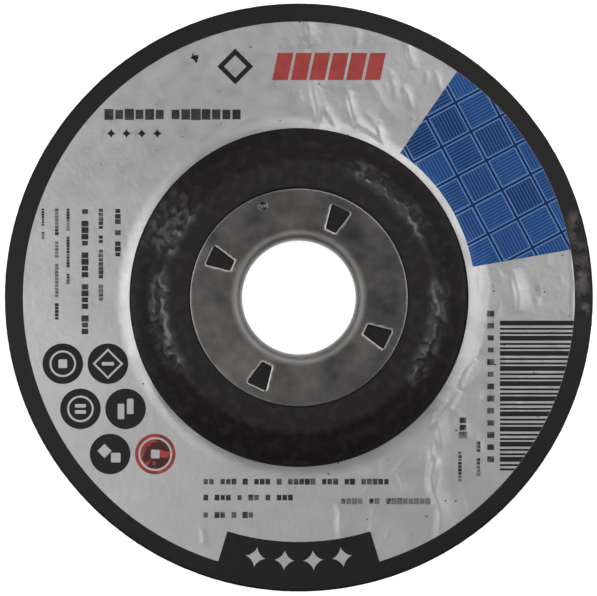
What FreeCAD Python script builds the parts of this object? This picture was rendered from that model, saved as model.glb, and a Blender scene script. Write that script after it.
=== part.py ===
import FreeCAD, Part
import Sketcher
import math
import os
from FreeCAD import Vector

# Depressed-centre grinding disc, 115 x 6 x 22.23 mm, with a steel ring in its bore and a printed
# paper label on its back. Z runs along the bore. Z 0 is the grinding face that the disc lies on,
# and the raised hub and the label face up. The origin is the bore's centre at the grinding face.

# Driving dimensions in millimetres, angles in degrees, and counts.
SIZES = {
    # moulded abrasive body
    "disc_radius": 57.5,
    "disc_thickness": 6.0,
    "hub_thickness": 5.4,
    "recess_depth": 4.6,
    "hub_land": 5.42,
    "slope_angle": 32.0,
    "slope_wall": 5.2,
    "shoulder_round": 4.0,
    "foot_round": 10.0,
    "recess_round": 3.0,
    "mouth_round": 4.0,
    "rim_bevel": 0.35,
    # pressed steel ring in the bore
    "bore_radius": 11.115,
    "flange_radius": 21.0,
    "sheet_thickness": 0.6,
    "flange_proud": 0.15,
    "bend_radius": 1.5,
    "lip_setback": 0.3,
    "flange_edge_round": 0.2,
    "bore_clearance": 0.02,
    "flange_clearance": 0.1,
    # windows of the ring and the claws folded down out of them
    "window_count": 4,
    "window_phase": 64.5,
    "window_inner_margin": 1.585,
    "window_outer_margin": 2.1,
    "window_narrow_width": 2.1,
    "window_wide_width": 4.0,
    "fold_round": 0.4,
    "claw_cover": 1.15,
    "claw_clearance": 0.05,
    # paper label
    "label_margin": 0.6,
    "label_thickness": 0.25,
    "label_foot_gap": 0.08,
    # print on the label
    "ink_thickness": 0.05,
    "print_gap": 0.05,
    "border_width": 3.1,
    "tab_height": 6.15,
    "tab_half_angle": 17.0,
    "star_count": 4,
    "star_pitch_angle": 6.3,
    "star_drop": 2.5,
    "star_reach": 2.05,
    "star_waist": 0.72,
    "small_star_drop": 3.7,
    "small_star_inset": 1.4,
    "small_star_pitch": 3.0,
    "small_star_reach": 0.95,
    "small_star_waist": 0.35,
    "panel_start_angle": 10.0,
    "panel_angle": 45.0,
    "title_drop": 6.1,
    "title_height": 5.3,
    "title_start": 5.2,
    "title_block_width": 3.05,
    "title_block_pitch": 3.6,
    "title_block_count": 6,
    "title_slant": 1.1,
    "emblem_reach": 3.5,
    "emblem_hole": 2.2,
    "emblem_gap": 3.7,
    "roundel_margins": 2.2,
    "roundel_space": 0.9,
    "roundel_border_gap": 2.05,
    "roundel_first_drop": 12.9,
    "stripe_foot_gap": 3.4,
    "stripe_first_drop": 4.5,
    "stripe_wide": 0.95,
    "stripe_thin": 0.4,
    "stripe_space": 0.45,
    "stripe_group_pitch": 2.95,
    "stripe_group_count": 10,
    # lines of small print: their places, the height of their letters and the space between words
    "lead_drop": 6.7,
    "lead_start": 38.0,
    "lead_letter": 3.6,
    "row_start": 18.7,
    "row_letter": 2.0,
    "first_row_rise": 17.9,
    "second_row_rise": 14.8,
    "third_row_rise": 11.4,
    "maker_row_rise": 14.1,
    "maker_row_start": 8.1,
    "column_top": 17.4,
    "edge_note_inset": 3.9,
    "edge_note_letter": 0.9,
    "fine_note_inset": 6.6,
    "fine_note_letter": 1.2,
    "short_note_inset": 8.8,
    "short_note_letter": 1.0,
    "bold_line_inset": 12.1,
    "bold_line_letter": 2.3,
    "plain_line_inset": 15.2,
    "plain_line_letter": 1.5,
    "foot_line_inset": 18.5,
    "foot_line_letter": 1.9,
    "count_gap": 1.8,
    "count_drop": 2.5,
    "count_letter": 2.3,
    "form_gap": 7.2,
    "form_drop": 23.2,
    "form_letter": 2.6,
    "batch_gap": 7.8,
    "batch_drop": 30.0,
    "batch_letter": 1.2,
    "date_gap": 4.2,
    "date_drop": 28.0,
    "date_letter": 1.3,
    "word_space": 1.1,
    "bar_share": 0.62,
    "letter_share": 0.55,
}

# Heights and radii worked out from the driving dimensions.
HUB_TOP = "(sizes.recess_depth + sizes.hub_thickness)"
FLANGE_TOP = f"({HUB_TOP} + sizes.flange_proud)"
SEAT_HEIGHT = f"({FLANGE_TOP} - sizes.sheet_thickness)"
SEAT_RADIUS = "(sizes.flange_radius + sizes.flange_clearance)"
LIP_OUTER = "(sizes.bore_radius + sizes.sheet_thickness)"
LIP_END = "(sizes.recess_depth + sizes.lip_setback)"
BODY_BORE = f"({LIP_OUTER} + sizes.bore_clearance)"
WINDOW_INNER = "(sizes.bore_radius + sizes.bend_radius + sizes.window_inner_margin)"
WINDOW_OUTER = "(sizes.flange_radius - sizes.window_outer_margin)"
CLAW_END = "(sizes.recess_depth + sizes.claw_cover)"

# A flat land surrounds the flange. Beyond it the hub's wall slopes down, slope_wall thick square
# to its faces, from the land and the recess floor to the disc's back and the grinding face.
WALL_RISE = "(sizes.slope_wall / cos(sizes.slope_angle))"
HUB_CORNER = f"({SEAT_RADIUS} + sizes.hub_land)"
FOOT_CORNER = f"({HUB_CORNER} + ({HUB_TOP} - sizes.disc_thickness) / tan(sizes.slope_angle))"
FLOOR_CORNER = f"({HUB_CORNER} - ({WALL_RISE} - sizes.hub_thickness) / tan(sizes.slope_angle))"
MOUTH_CORNER = f"({FLOOR_CORNER} + sizes.recess_depth / tan(sizes.slope_angle))"

# A round between a flat and the slope takes its radius times this from each of them. The rounds
# at the two ends of a slope stay within their shares of its length.
ROUND_REACH = "tan(sizes.slope_angle / 2)"
OUTER_SLOPE = f"(({HUB_TOP} - sizes.disc_thickness) / sin(sizes.slope_angle))"
INNER_SLOPE = "(sizes.recess_depth / sin(sizes.slope_angle))"
SHOULDER_ROUND = f"min(sizes.shoulder_round; 0.3 * {OUTER_SLOPE} / {ROUND_REACH})"
FOOT_ROUND = f"min(sizes.foot_round; 0.65 * {OUTER_SLOPE} / {ROUND_REACH})"
RECESS_ROUND = f"min(sizes.recess_round; 0.45 * {INNER_SLOPE} / {ROUND_REACH})"
MOUTH_ROUND = f"min(sizes.mouth_round; 0.45 * {INNER_SLOPE} / {ROUND_REACH})"

# The label climbs the round at the hub's foot, whose centre stands over the start of the flat.
FLAT_START = f"({FOOT_CORNER} + {FOOT_ROUND} * {ROUND_REACH})"
FOOT_CENTRE = f"(sizes.disc_thickness + {FOOT_ROUND})"
LABEL_INNER = f"({FOOT_CORNER} + sizes.label_foot_gap)"
LABEL_OUTER = "(sizes.disc_radius - sizes.label_margin)"
LABEL_TOP = "(sizes.disc_thickness + sizes.label_thickness)"

# The print keeps inside the black border, and each field is placed from that border.
BORDER_INNER = f"({LABEL_OUTER} - sizes.border_width)"
PRINT_LIMIT = f"({BORDER_INNER} - sizes.print_gap)"
PANEL_INNER = f"(({LABEL_INNER} + {FLAT_START}) / 2)"
TITLE_TOP = f"({BORDER_INNER} - sizes.title_drop)"
TITLE_BOTTOM = f"({TITLE_TOP} - sizes.title_height)"
TITLE_MIDDLE = f"({TITLE_TOP} - sizes.title_height / 2)"
EMBLEM_X = "(- sizes.title_start - sizes.emblem_gap - sizes.emblem_reach)"
LEAD_MIDDLE = f"({TITLE_BOTTOM} - sizes.lead_drop)"
STRIPE_START = f"({FLAT_START} + sizes.stripe_foot_gap)"

# Two round fields side by side fill the label's flat, less their margins.
ROUNDEL_RADIUS = f"(({BORDER_INNER} - {FLAT_START} - sizes.roundel_margins) / 4)"
ROUNDEL_PITCH = f"(2 * {ROUNDEL_RADIUS} + sizes.roundel_space)"
ROUNDEL_LIMIT = f"({BORDER_INNER} - sizes.roundel_border_gap - {ROUNDEL_RADIUS})"

# Prints other than the border and the panel are upright blocks from the disc's back to the height
# of the hub, of which only what lies in the skin of ink is kept.
BLOCK_FLOOR = "sizes.disc_thickness"
BLOCK_HEIGHT = f"({HUB_TOP} - sizes.disc_thickness)"

# Lines of small print, each a row of bars in place of words. A row gives its middle line's height
# over the border's lowest point, where it starts, its letters' height and the number of letters in
# each word.
ROWS = (
    ("sizes.first_row_rise", "- sizes.row_start", "sizes.row_letter", (2, 3, 1, 3, 1, 5, 3, 2, 5)),
    ("sizes.second_row_rise", "- sizes.row_start", "sizes.row_letter", (1, 3, 1, 2, 1, 3)),
    ("sizes.third_row_rise", "- sizes.row_start", "sizes.row_letter", (1, 2, 1, 2)),
    ("sizes.maker_row_rise", "sizes.maker_row_start", "sizes.row_letter", (4, 2, 8)),
)
LEAD_WORDS = (6, 7)

# A column at the left gives its middle line's distance from the border's left, its letters' height
# and the number of letters in each word. These columns all start at the same height.
LEFT_COLUMNS = (
    ("sizes.edge_note_inset", "sizes.edge_note_letter", (7, 3)),
    ("sizes.fine_note_inset", "sizes.fine_note_letter", (8, 5, 10, 5)),
    ("sizes.short_note_inset", "sizes.short_note_letter", (8, 11, 4)),
    ("sizes.bold_line_inset", "sizes.bold_line_letter", (1, 4, 4, 4, 3)),
    ("sizes.plain_line_inset", "sizes.plain_line_letter", (5, 2, 7, 4)),
    ("sizes.foot_line_inset", "sizes.foot_line_letter", (3, 1, 3)),
)

# A column at the right gives its distance from the stripes, how far down it starts, its letters'
# height and the number of letters in each word.
RIGHT_COLUMNS = (
    ("sizes.count_gap", "sizes.count_drop", "sizes.count_letter", (1,) * 13),
    ("sizes.form_gap", "sizes.form_drop", "sizes.form_letter", (3,)),
    ("sizes.batch_gap", "sizes.batch_drop", "sizes.batch_letter", (9,)),
    ("sizes.date_gap", "sizes.date_drop", "sizes.date_letter", (3, 5)),
)

# Two places nearer than this are the same one.
SAME_PLACE = 1e-4

document = FreeCAD.newDocument("grinding_disc")


def make_sheet():
    """Spreadsheet of the driving dimensions, one row with an alias for each."""
    sheet = document.addObject("Spreadsheet::Sheet", "sizes")
    for row, (alias, value) in enumerate(SIZES.items(), start=1):
        sheet.set(f"A{row}", alias)
        sheet.set(f"B{row}", str(value))
        sheet.setAlias(f"B{row}", alias)
    document.recompute()
    return sheet


def worked(expression):
    """Value of an expression at the present sizes."""
    return float(document.sizes.evalExpression(expression))


def new_body(label):
    """Empty body that carries a sub-part's label."""
    body = document.addObject("PartDesign::Body", label)
    body.Label = label
    return body


def origin_part(body, role):
    """The body's own origin plane or axis with this role."""
    return next(part for part in body.Origin.OriginFeatures if part.Role == role)


def new_sketch(body, name, role, offset="0"):
    """Empty sketch on an origin plane of the body, moved along the plane's normal."""
    sketch = body.newObject("Sketcher::SketchObject", name)
    sketch.AttachmentSupport = [(origin_part(body, role), "")]
    sketch.MapMode = "FlatFace"
    sketch.setExpression("AttachmentOffset.Base.z", offset)
    return sketch


def pin(sketch, shape_index, point_index, corner):
    """Fix one point of a sketched line or curve at two expressions from the origin."""
    for kind, expression in zip(("DistanceX", "DistanceY"), corner):
        constraint = Sketcher.Constraint(
            kind, -1, 1, shape_index, point_index, worked(expression)
        )
        index = sketch.addConstraint(constraint)
        sketch.setExpression(f"Constraints[{index}]", expression)


def fix_radius(sketch, shape_index, expression):
    """Tie the radius of a sketched arc or circle to an expression."""
    index = sketch.addConstraint(Sketcher.Constraint("Radius", shape_index, worked(expression)))
    sketch.setExpression(f"Constraints[{index}]", expression)


def arc_between(start, end, radius, turn):
    """Arc from start to end, counter-clockwise for a turn of 1 and clockwise for -1."""
    chord = end - start
    to_centre = Vector(-chord.y, chord.x, 0).normalize() * turn
    centre = (start + end) / 2 + to_centre * math.sqrt(radius**2 - (chord.Length / 2) ** 2)
    first, last = (start, end) if turn > 0 else (end, start)
    begin = math.atan2(first.y - centre.y, first.x - centre.x)
    finish = math.atan2(last.y - centre.y, last.x - centre.x)
    if finish < begin:
        finish += 2 * math.pi
    return Part.ArcOfCircle(Part.Circle(centre, Vector(0, 0, 1), radius), begin, finish)


def add_outline(sketch, corners, arcs=None):
    """Closed outline through pinned corners; arcs gives the radius and turn of curved sides."""
    arcs = arcs or {}
    points = [Vector(worked(x), worked(y), 0) for x, y in corners]
    first = sketch.GeometryCount
    count = len(points)
    ends = []
    for side, start in enumerate(points):
        end = points[(side + 1) % count]
        if side in arcs:
            radius, turn = arcs[side]
            sketch.addGeometry(arc_between(start, end, worked(radius), turn), False)
            ends.append((1, 2) if turn > 0 else (2, 1))
        else:
            sketch.addGeometry(Part.LineSegment(start, end), False)
            ends.append((1, 2))
    for side in range(count):
        after = (side + 1) % count
        sketch.addConstraint(
            Sketcher.Constraint("Coincident", first + side, ends[side][1], first + after, ends[after][0])
        )
        pin(sketch, first + side, ends[side][0], corners[side])
        if side in arcs:
            fix_radius(sketch, first + side, arcs[side][0])


def add_circle(sketch, centre, radius):
    """Circle at a pinned centre."""
    index = sketch.addGeometry(
        Part.Circle(Vector(worked(centre[0]), worked(centre[1]), 0), Vector(0, 0, 1), worked(radius)),
        False,
    )
    pin(sketch, index, 3, centre)
    fix_radius(sketch, index, radius)


def revolve(body, sketch, name, angle="360"):
    """Turn a profile about the Z axis."""
    feature = body.newObject("PartDesign::Revolution", name)
    feature.Profile = sketch
    feature.ReferenceAxis = (sketch, ["V_Axis"])
    feature.setExpression("Angle", angle)
    document.recompute()
    return feature


def pad(body, sketch, name, length):
    """Thicken a sketch along its normal."""
    feature = body.newObject("PartDesign::Pad", name)
    feature.Profile = sketch
    feature.setExpression("Length", length)
    document.recompute()
    return feature


def pocket(body, sketch, name, length):
    """Cut a sketch into the body against its normal."""
    feature = body.newObject("PartDesign::Pocket", name)
    feature.Profile = sketch
    feature.setExpression("Length", length)
    document.recompute()
    return feature


def repeat_round(body, name, originals, count):
    """Repeat features evenly about the Z axis."""
    pattern = body.newObject("PartDesign::PolarPattern", name)
    pattern.Originals = originals
    pattern.Axis = (origin_part(body, "Z_Axis"), [""])
    pattern.Angle = 360
    pattern.setExpression("Occurrences", count)
    body.Tip = pattern
    document.recompute()
    return pattern


def repeat_along(body, name, originals, axis, count, length):
    """Repeat features in a straight row against an axis of the body."""
    pattern = body.newObject("PartDesign::LinearPattern", name)
    pattern.Originals = originals
    pattern.Direction = (origin_part(body, axis), [""])
    pattern.Reversed = True
    pattern.setExpression("Length", length)
    pattern.setExpression("Occurrences", count)
    body.Tip = pattern
    document.recompute()
    return pattern


def edges_at(shape, radius, height):
    """Names of the edges whose middle lies at this radius from the Z axis and at this height."""
    names = []
    for index, edge in enumerate(shape.Edges, start=1):
        middle = edge.valueAt((edge.FirstParameter + edge.LastParameter) / 2)
        reach = math.hypot(middle.x, middle.y)
        if abs(reach - radius) < SAME_PLACE and abs(middle.z - height) < SAME_PLACE:
            names.append(f"Edge{index}")
    return names


def round_edges(body, name, places, radius):
    """Round the edges found at pairs of radius and height."""
    base = body.Tip
    names = []
    for reach, height in places:
        names += edges_at(base.Shape, worked(reach), worked(height))
    feature = body.newObject("PartDesign::Fillet", name)
    feature.Base = (base, names)
    feature.setExpression("Radius", radius)
    document.recompute()
    return feature


def turn_to_phase(body):
    """Turn a body about Z so that its first window or slot stands where the ring's first is."""
    body.Placement = FreeCAD.Placement(Vector(), FreeCAD.Rotation(Vector(0, 0, 1), 1))
    body.setExpression("Placement.Rotation.Angle", "sizes.window_phase")


def claw_corners(clearance):
    """Tapered outline of a claw in the plane across it, widened for the slot by a clearance."""
    wide = f"(sizes.window_wide_width / 2 + {clearance})"
    narrow = f"(sizes.window_narrow_width / 2 + {clearance})"
    low = f"({CLAW_END} - {clearance})"
    return [(f"- {narrow}", low), (narrow, low), (wide, SEAT_HEIGHT), (f"- {wide}", SEAT_HEIGHT)]


def make_abrasive_body():
    """Moulded disc: recess for the nut, sloping hub wall, seat and bore for the steel ring."""
    body = new_body("abrasive_body")
    profile = new_sketch(body, "body_profile", "XZ_Plane")
    add_outline(profile, [
        (BODY_BORE, "sizes.recess_depth"),
        (FLOOR_CORNER, "sizes.recess_depth"),
        (MOUTH_CORNER, "0"),
        ("sizes.disc_radius", "0"),
        ("sizes.disc_radius", "sizes.disc_thickness"),
        (FOOT_CORNER, "sizes.disc_thickness"),
        (HUB_CORNER, HUB_TOP),
        (SEAT_RADIUS, HUB_TOP),
        (SEAT_RADIUS, SEAT_HEIGHT),
        (BODY_BORE, SEAT_HEIGHT),
    ])
    revolve(body, profile, "body_turned")
    round_edges(body, "shoulder", [(HUB_CORNER, HUB_TOP)], SHOULDER_ROUND)
    round_edges(body, "hub_foot", [(FOOT_CORNER, "sizes.disc_thickness")], FOOT_ROUND)
    round_edges(body, "recess_corner", [(FLOOR_CORNER, "sizes.recess_depth")], RECESS_ROUND)
    round_edges(body, "recess_mouth", [(MOUTH_CORNER, "0")], MOUTH_ROUND)
    bevel_rims(body)
    bend_inside = "(sizes.bend_radius - sizes.sheet_thickness + sizes.bore_clearance)"
    round_edges(body, "bore_edge", [(BODY_BORE, SEAT_HEIGHT)], bend_inside)
    cut_claw_slots(body)
    turn_to_phase(body)
    return body


def bevel_rims(body):
    """Small bevel at both outer edges, where the moulded rim breaks off."""
    base = body.Tip
    radius = worked("sizes.disc_radius")
    names = []
    for height in (0, worked("sizes.disc_thickness")):
        names += edges_at(base.Shape, radius, height)
    feature = body.newObject("PartDesign::Chamfer", "rims")
    feature.Base = (base, names)
    feature.setExpression("Size", "sizes.rim_bevel")
    document.recompute()


def cut_claw_slots(body):
    """Slots under the ring's flange, into which its claws are pressed."""
    outer_face = f"({WINDOW_OUTER} + sizes.sheet_thickness + sizes.claw_clearance)"
    slot_sketch = new_sketch(body, "claw_slot_outline", "YZ_Plane", outer_face)
    add_outline(slot_sketch, claw_corners("sizes.claw_clearance"))
    slot = pocket(body, slot_sketch, "claw_slot", "sizes.sheet_thickness + 2 * sizes.claw_clearance")
    repeat_round(body, "claw_slots", [slot], "sizes.window_count")


def make_center_ring():
    """Pressed ring: flat flange, lip rolled down into the bore, windows and claws."""
    body = new_body("center_ring")
    profile = new_sketch(body, "ring_profile", "XZ_Plane")
    add_outline(profile, [
        ("sizes.bore_radius", LIP_END),
        (LIP_OUTER, LIP_END),
        (LIP_OUTER, SEAT_HEIGHT),
        ("sizes.flange_radius", SEAT_HEIGHT),
        ("sizes.flange_radius", FLANGE_TOP),
        ("sizes.bore_radius", FLANGE_TOP),
    ])
    revolve(body, profile, "ring_turned")
    round_edges(body, "bend_outside", [("sizes.bore_radius", FLANGE_TOP)], "sizes.bend_radius")
    round_edges(body, "bend_inside", [(LIP_OUTER, SEAT_HEIGHT)],
                "sizes.bend_radius - sizes.sheet_thickness")
    round_edges(body, "flange_edge", [("sizes.flange_radius", FLANGE_TOP)],
                "sizes.flange_edge_round")
    fold_claws(body)
    turn_to_phase(body)
    return body


def fold_claws(body):
    """Each window's metal stays joined at its wide side and is folded down as a claw."""
    narrow = "(sizes.window_narrow_width / 2)"
    wide = "(sizes.window_wide_width / 2)"
    window_sketch = new_sketch(body, "window_outline", "XY_Plane", FLANGE_TOP)
    add_outline(window_sketch, [
        (WINDOW_INNER, f"- {narrow}"),
        (WINDOW_OUTER, f"- {wide}"),
        (WINDOW_OUTER, wide),
        (WINDOW_INNER, narrow),
    ])
    window = pocket(body, window_sketch, "window", "sizes.sheet_thickness")
    claw_sketch = new_sketch(body, "claw_outline", "YZ_Plane", WINDOW_OUTER)
    add_outline(claw_sketch, claw_corners("0"))
    claw = pad(body, claw_sketch, "claw", "sizes.sheet_thickness")
    repeat_round(body, "windows_and_claws", [window, claw], "sizes.window_count")
    round_edges(body, "folds", [(WINDOW_OUTER, FLANGE_TOP)], "sizes.fold_round")


def foot_height(radius, lift):
    """Height of a skin at this radius on the hub's foot, the skin lying lift above the body."""
    return (
        f"({FOOT_CENTRE} - sqrt(({FOOT_ROUND} - {lift}) ^ 2 - ({FLAT_START} - {radius}) ^ 2))"
    )


def add_skin_outline(sketch, inner, outer, low, high):
    """Profile of a thin skin that lies on the flat and climbs the round of the hub's foot."""
    add_outline(
        sketch,
        [
            (FLAT_START, f"sizes.disc_thickness + {low}"),
            (outer, f"sizes.disc_thickness + {low}"),
            (outer, f"sizes.disc_thickness + {high}"),
            (FLAT_START, f"sizes.disc_thickness + {high}"),
            (inner, foot_height(inner, high)),
            (inner, foot_height(inner, low)),
        ],
        {3: (f"{FOOT_ROUND} - {high}", -1), 5: (f"{FOOT_ROUND} - {low}", 1)},
    )


def make_paper_label():
    """Paper ring glued to the back of the disc, up to the hub's foot."""
    body = new_body("paper_label")
    profile = new_sketch(body, "label_profile", "XZ_Plane")
    add_skin_outline(profile, LABEL_INNER, LABEL_OUTER, "0", "sizes.label_thickness")
    revolve(body, profile, "label_turned")
    return body


def sector_corners(inner, outer, half_angle):
    """Corners of a sector that hangs about the -Y axis, counter-clockwise from its lower left."""
    right, left = f"sin({half_angle})", f"(- sin({half_angle}))"
    down = f"(- cos({half_angle}))"
    return [
        (f"{outer} * {left}", f"{outer} * {down}"),
        (f"{outer} * {right}", f"{outer} * {down}"),
        (f"{inner} * {right}", f"{inner} * {down}"),
        (f"{inner} * {left}", f"{inner} * {down}"),
    ]


def star_corners(centre, turn, reach, waist):
    """Four-pointed star about a centre, its tips this far out and the hollows between them."""
    corners = []
    for point in range(8):
        radius = reach if point % 2 == 0 else waist
        heading = f"({turn} + {45 * point})"
        corners.append((
            f"{centre[0]} + {radius} * sin({heading})",
            f"{centre[1]} - {radius} * cos({heading})",
        ))
    return corners


def make_border_print():
    """Black border with a tab at the bottom, out of which four stars are left blank."""
    body = new_body("border_print")
    ring = new_sketch(body, "border_outline", "XY_Plane", LABEL_TOP)
    add_circle(ring, ("0", "0"), LABEL_OUTER)
    add_circle(ring, ("0", "0"), BORDER_INNER)
    pad(body, ring, "border", "sizes.ink_thickness")
    tab = new_sketch(body, "tab_outline", "XY_Plane", LABEL_TOP)
    inside, outside = f"({BORDER_INNER} - sizes.tab_height)", f"({LABEL_OUTER} - sizes.border_width / 2)"
    add_outline(tab, sector_corners(inside, outside, "sizes.tab_half_angle"),
                {0: (outside, 1), 2: (inside, -1)})
    pad(body, tab, "tab", "sizes.ink_thickness")
    stars = new_sketch(body, "star_outlines", "XY_Plane", f"{LABEL_TOP} + sizes.ink_thickness")
    for place in range(int(worked("sizes.star_count"))):
        angle = f"(({place} - (sizes.star_count - 1) / 2) * sizes.star_pitch_angle)"
        radius = f"({BORDER_INNER} - sizes.star_drop)"
        centre = (f"{radius} * sin({angle})", f"- {radius} * cos({angle})")
        add_outline(stars, star_corners(centre, angle, "sizes.star_reach", "sizes.star_waist"))
    pocket(body, stars, "stars", "sizes.ink_thickness")
    return body


def make_blue_panel_print():
    """Blue field from the hub's foot to the border, following the label."""
    body = new_body("blue_panel_print")
    profile = new_sketch(body, "panel_profile", "XZ_Plane")
    top = "(sizes.label_thickness + sizes.ink_thickness)"
    add_skin_outline(profile, PANEL_INNER, PRINT_LIMIT, "sizes.label_thickness", top)
    revolve(body, profile, "panel_turned", "sizes.panel_angle")
    body.Placement = FreeCAD.Placement(Vector(), FreeCAD.Rotation(Vector(0, 0, 1), 1))
    body.setExpression("Placement.Rotation.Angle", "sizes.panel_start_angle")
    return body


def make_ink_skin():
    """Skin of ink over the whole label inside the border, for prints that reach the foot."""
    body = new_body("ink_skin")
    profile = new_sketch(body, "ink_profile", "XZ_Plane")
    top = "(sizes.label_thickness + sizes.ink_thickness)"
    add_skin_outline(profile, LABEL_INNER, PRINT_LIMIT, "sizes.label_thickness", top)
    revolve(body, profile, "ink_turned")
    return body


def make_flat_ink_skin():
    """Skin of ink over the label's flat only, for prints that keep clear of the foot."""
    body = new_body("flat_ink_skin")
    outline = new_sketch(body, "flat_ink_outline", "XY_Plane", LABEL_TOP)
    add_circle(outline, ("0", "0"), PRINT_LIMIT)
    add_circle(outline, ("0", "0"), FLAT_START)
    pad(body, outline, "flat_ink", "sizes.ink_thickness")
    return body


def print_blocks(label, blocks, ink_skin):
    """Keep what the blocks share with the skin of ink."""
    printed = document.addObject("Part::Common", label)
    printed.Base = blocks
    printed.Tool = ink_skin
    printed.Label = label
    return printed


def make_red_blocks():
    """Row of slanted red blocks at the top, and a red disc at the end of the dark discs."""
    body = new_body("red_blocks")
    blocks = new_sketch(body, "title_blocks", "XY_Plane", BLOCK_FLOOR)
    for place in range(int(worked("sizes.title_block_count"))):
        left = f"({place} * sizes.title_block_pitch - sizes.title_start)"
        right = f"({left} + sizes.title_block_width)"
        add_outline(blocks, [
            (left, TITLE_BOTTOM),
            (right, TITLE_BOTTOM),
            (f"{right} + sizes.title_slant", TITLE_TOP),
            (f"{left} + sizes.title_slant", TITLE_TOP),
        ])
    add_circle(blocks, roundel_centre(2, 1), ROUNDEL_RADIUS)
    pad(body, blocks, "title_and_disc", BLOCK_HEIGHT)
    return body


def roundel_centre(row, place):
    """Centre of a disc: each row starts against the border and steps inward to the right."""
    y = f"(- sizes.roundel_first_drop - {row} * {ROUNDEL_PITCH})"
    x = f"({place} * {ROUNDEL_PITCH} - sqrt({ROUNDEL_LIMIT} ^ 2 - {y} ^ 2))"
    return x, y


def lozenge_corners(reach):
    """Square standing on its corner at the emblem's place."""
    return [
        (EMBLEM_X, f"{TITLE_MIDDLE} - {reach}"),
        (f"{EMBLEM_X} + {reach}", TITLE_MIDDLE),
        (EMBLEM_X, f"{TITLE_MIDDLE} + {reach}"),
        (f"{EMBLEM_X} - {reach}", TITLE_MIDDLE),
    ]


def make_dark_blocks():
    """Stripes that run to the border, dark discs, a lozenge and a row of small stars."""
    body = new_body("dark_blocks")
    group = new_sketch(body, "stripe_group", "XY_Plane", BLOCK_FLOOR)
    top = "(- sizes.stripe_first_drop)"
    for width in ("sizes.stripe_wide", "sizes.stripe_thin", "sizes.stripe_thin"):
        bottom = f"({top} - {width})"
        add_outline(group, [
            (STRIPE_START, bottom), (BORDER_INNER, bottom), (BORDER_INNER, top), (STRIPE_START, top)
        ])
        top = f"({bottom} - sizes.stripe_space)"
    stripes = pad(body, group, "stripes", BLOCK_HEIGHT)
    repeat_along(body, "stripe_field", [stripes], "Y_Axis", "sizes.stripe_group_count",
                 "sizes.stripe_group_pitch * (sizes.stripe_group_count - 1)")
    discs = new_sketch(body, "disc_outlines", "XY_Plane", BLOCK_FLOOR)
    for row, place in ((0, 0), (0, 1), (1, 0), (1, 1), (2, 0)):
        add_circle(discs, roundel_centre(row, place), ROUNDEL_RADIUS)
    add_outline(discs, lozenge_corners("sizes.emblem_reach"))
    add_outline(discs, lozenge_corners("sizes.emblem_hole"))
    for place in range(int(worked("sizes.star_count"))):
        x = f"({place} * sizes.small_star_pitch + sizes.small_star_inset - sizes.lead_start)"
        centre = (x, f"({LEAD_MIDDLE} - sizes.small_star_drop)")
        add_outline(discs, star_corners(centre, "0", "sizes.small_star_reach", "sizes.small_star_waist"))
    pad(body, discs, "discs_and_ornaments", BLOCK_HEIGHT)
    return body


def add_word(name, left, bottom, length, width):
    """One upright block that stands for a word."""
    word = document.addObject("Part::Box", name)
    word.setExpression("Length", length)
    word.setExpression("Width", width)
    word.setExpression("Height", BLOCK_HEIGHT)
    word.setExpression("Placement.Base.x", left)
    word.setExpression("Placement.Base.y", bottom)
    word.setExpression("Placement.Base.z", BLOCK_FLOOR)
    return word


def add_row(name, middle, left, letter, counts):
    """Words from left to right on one middle line."""
    tall = f"({letter} * sizes.bar_share)"
    words = []
    for place, count in enumerate(counts):
        length = f"({count} * {letter} * sizes.letter_share)"
        words.append(add_word(f"{name}_{place}", left, f"{middle} - {tall} / 2", length, tall))
        left = f"({left} + {length} + sizes.word_space)"
    return words


def add_column(name, middle, top, letter, counts):
    """Words from the top down on one middle line."""
    wide = f"({letter} * sizes.bar_share)"
    words = []
    for place, count in enumerate(counts):
        length = f"({count} * {letter} * sizes.letter_share)"
        bottom = f"({top} - {length})"
        words.append(add_word(f"{name}_{place}", f"{middle} - {wide} / 2", bottom, wide, length))
        top = f"({bottom} - sizes.word_space)"
    return words


def make_text_blocks():
    """Lines of small print: a lead row at the upper left, columns at both sides, rows below."""
    words = add_row("lead", LEAD_MIDDLE, "(- sizes.lead_start)", "sizes.lead_letter", LEAD_WORDS)
    for line, (rise, start, letter, counts) in enumerate(ROWS):
        words += add_row(f"row_{line}", f"({rise} - {BORDER_INNER})", f"({start})", letter, counts)
    for line, (inset, letter, counts) in enumerate(LEFT_COLUMNS):
        middle = f"({inset} - {BORDER_INNER})"
        words += add_column(f"left_{line}", middle, "sizes.column_top", letter, counts)
    for line, (gap, drop, letter, counts) in enumerate(RIGHT_COLUMNS):
        middle = f"({STRIPE_START} - {gap})"
        words += add_column(f"right_{line}", middle, f"(- {drop})", letter, counts)
    blocks = document.addObject("Part::Compound", "text_blocks")
    blocks.Links = words
    return blocks


def check_document(sub_parts):
    """Stop before anything is written if an object failed or a shape is not sound."""
    for item in document.Objects:
        if "Invalid" in item.State or "Error" in item.State:
            raise RuntimeError(f"{item.Name} failed: {item.State}")
    for part in sub_parts:
        if part.Shape.isNull() or not part.Shape.isValid():
            raise RuntimeError(f"{part.Label} has no sound shape")
        if not part.Shape.Solids:
            raise RuntimeError(f"{part.Label} holds no solid")


def write_parts(sub_parts):
    """One STEP file for each sub-part, named by its label."""
    os.makedirs("parts", exist_ok=True)
    for part in sub_parts:
        part.Shape.exportStep(f"parts/{part.Label}.step")


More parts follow.
